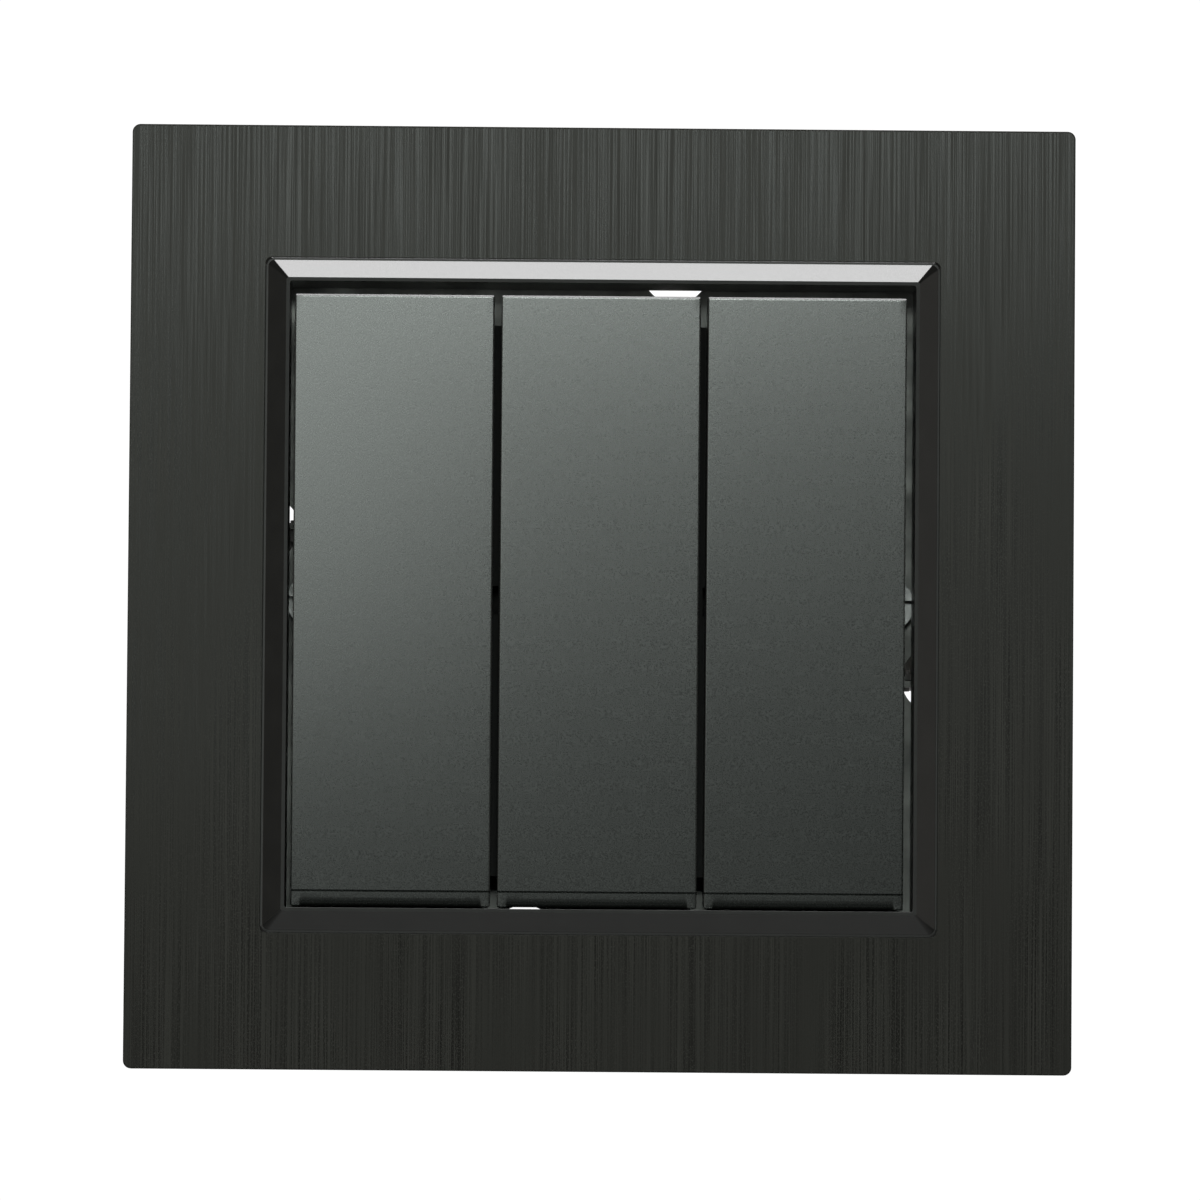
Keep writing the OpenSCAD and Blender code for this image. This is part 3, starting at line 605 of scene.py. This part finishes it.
def finish_piece(piece, body, slot, *replaced):
    """Gives a new piece the material of its slot, hangs it on its body and hides the CAD nodes that it stands for.
    """
    piece.data.materials.clear()
    piece.data.materials.append(MATERIALS[slot])
    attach(piece, body)
    if replaced:
        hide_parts(*replaced)


def dress_cad_nodes():
    """Every CAD node takes the material of its slot."""
    for part in frame["record"]["subparts"]:
        node = frame["nodes"][part["node"]]
        node.data.materials.clear()
        node.data.materials.append(MATERIALS[part["material_slot"]])


# ---------------------------------------------------------------- studio

PALE = (0.86, 0.86, 0.86)
FLOOR_DROP = 0.35
FLOOR_REACH = 2.5
FLOOR_GLOW = 0.6
CAMERA_DISTANCE = 0.8
CAMERA_AZIMUTH = -0.47
CAMERA_ELEVATION = -3.31
CAMERA_ROLL = 0.437
CAMERA_LENS = 276.9
SHIFT_X = -0.0007
SHIFT_Y = -0.0013
COOL = (0.95, 1.04, 0.985)
WARM = (1.03, 1.0, 0.93)


def add_floor():
    """A wide plain floor under the switch, which hangs at its height on a wall.

    The studio lights are too dim for the floor to look pale from the side, so it also glows a
    little, towards the camera only, which leaves the object's own light as it is.
    """
    bm = bmesh.new()
    bmesh.ops.create_grid(bm, x_segments=8, y_segments=8, size=FLOOR_REACH)
    bmesh.ops.translate(bm, verts=bm.verts, vec=(0, 0, cad_box[0].z - FLOOR_DROP))
    mesh = bpy.data.meshes.new("floor")
    bm.to_mesh(mesh)
    bm.free()
    floor = bpy.data.objects.new("floor", mesh)
    bpy.context.scene.collection.objects.link(floor)
    made = Material("pale_floor", PALE, 0.75)
    seen = made.node("ShaderNodeLightPath").outputs["Is Camera Ray"]
    made.shader.inputs["Emission Color"].default_value = (*PALE, 1)
    made.tree.links.new(made.math("MULTIPLY", seen, FLOOR_GLOW),
                        made.shader.inputs["Emission Strength"])
    floor.data.materials.append(made.data)


def add_light(name, place, target, size, power, color=(1, 1, 1)):
    """A rectangular soft light at place, turned towards target, unseen by the camera."""
    data = bpy.data.lights.new(name, "AREA")
    data.shape = "RECTANGLE"
    data.size, data.size_y = size
    data.energy = power
    data.color = color
    light = bpy.data.objects.new(name, data)
    light.location = place
    light.rotation_mode = "QUATERNION"
    light.rotation_quaternion = (Vector(target) - Vector(place)).to_track_quat("-Z", "Y")
    light.visible_camera = False
    bpy.context.scene.collection.objects.link(light)


def add_lights():
    """Strip overhead for the lip's upper slope, soft cards round the face, a far rear fill."""
    add_light("overhead", (0, -0.064, 0.34), (0, -0.064, 0), (0.16, 0.1), 0.66)
    add_light("near_left", (-0.054, -0.18, 0.023), (-0.054, 0, 0.023), (0.07, 0.07), 0.085, COOL)
    add_light("front", (0.007, -0.323, 0.093), (0.007, 0, 0.093), (0.07, 0.07), 0.77, COOL)
    add_light("left_front_card", (-0.33, -0.39, 0.02), (0, 0, 0.02), (0.36, 0.2), 0.2, WARM)
    add_light("left_card", (-0.6, -0.1, 0), (0, 0, 0), (0.6, 0.6), 0.15, WARM)
    add_light("right_card", (0.6, -0.1, 0), (0, 0, 0), (0.6, 0.6), 0.4, WARM)
    add_light("rear_fill", (0.5, 1.2, 0.7), (0, 0, 0), (0.8, 0.8), 12)


def add_world():
    """White for the camera and dim grey for everything that the object reflects."""
    world = bpy.data.worlds.new("studio")
    bpy.context.scene.world = world
    world.use_nodes = True
    nodes, links = world.node_tree.nodes, world.node_tree.links
    nodes.clear()
    dim = nodes.new("ShaderNodeBackground")
    dim.inputs["Color"].default_value = (0.06, 0.059, 0.056, 1)
    seen = nodes.new("ShaderNodeBackground")
    seen.inputs["Color"].default_value = (1, 1, 1, 1)
    seen.inputs["Strength"].default_value = 1.05
    path = nodes.new("ShaderNodeLightPath")
    mix = nodes.new("ShaderNodeMixShader")
    out = nodes.new("ShaderNodeOutputWorld")
    links.new(path.outputs["Is Camera Ray"], mix.inputs[0])
    links.new(dim.outputs[0], mix.inputs[1])
    links.new(seen.outputs[0], mix.inputs[2])
    links.new(mix.outputs[0], out.inputs["Surface"])


def add_camera():
    """A long lens, a little below the middle of the plate, as in the photograph."""
    azimuth, elevation = math.radians(CAMERA_AZIMUTH), math.radians(CAMERA_ELEVATION)
    target = Vector((0, PLATE_FRONT, 0))
    away = Vector((math.sin(azimuth) * math.cos(elevation),
                   -math.cos(azimuth) * math.cos(elevation), math.sin(elevation)))
    data = bpy.data.cameras.new("camera")
    data.lens = CAMERA_LENS
    data.sensor_width = 36
    data.shift_x, data.shift_y = SHIFT_X, SHIFT_Y
    data.clip_start, data.clip_end = 0.01, 20
    camera = bpy.data.objects.new("camera", data)
    camera.location = target + away * CAMERA_DISTANCE
    camera.rotation_mode = "QUATERNION"
    turn = (-away).to_track_quat("-Z", "Y")
    roll = Matrix.Rotation(math.radians(CAMERA_ROLL), 3, "Z").to_quaternion()
    camera.rotation_quaternion = turn @ roll
    bpy.context.scene.collection.objects.link(camera)
    bpy.context.scene.camera = camera


# ---------------------------------------------------------------- the scene

dress_cad_nodes()
finish_piece(build_face_plate(), "cover_frame", "face_sheet", "face_plate")
finish_piece(build_frame(), "cover_frame", "frame_plastic", "frame_base")
for side in SIDES:
    finish_piece(build_key(side), f"rocker_{side}", "key_plastic", f"key_{side}")

add_floor()
add_world()
add_lights()
add_camera()
bpy.context.scene.view_settings.view_transform = "Standard"
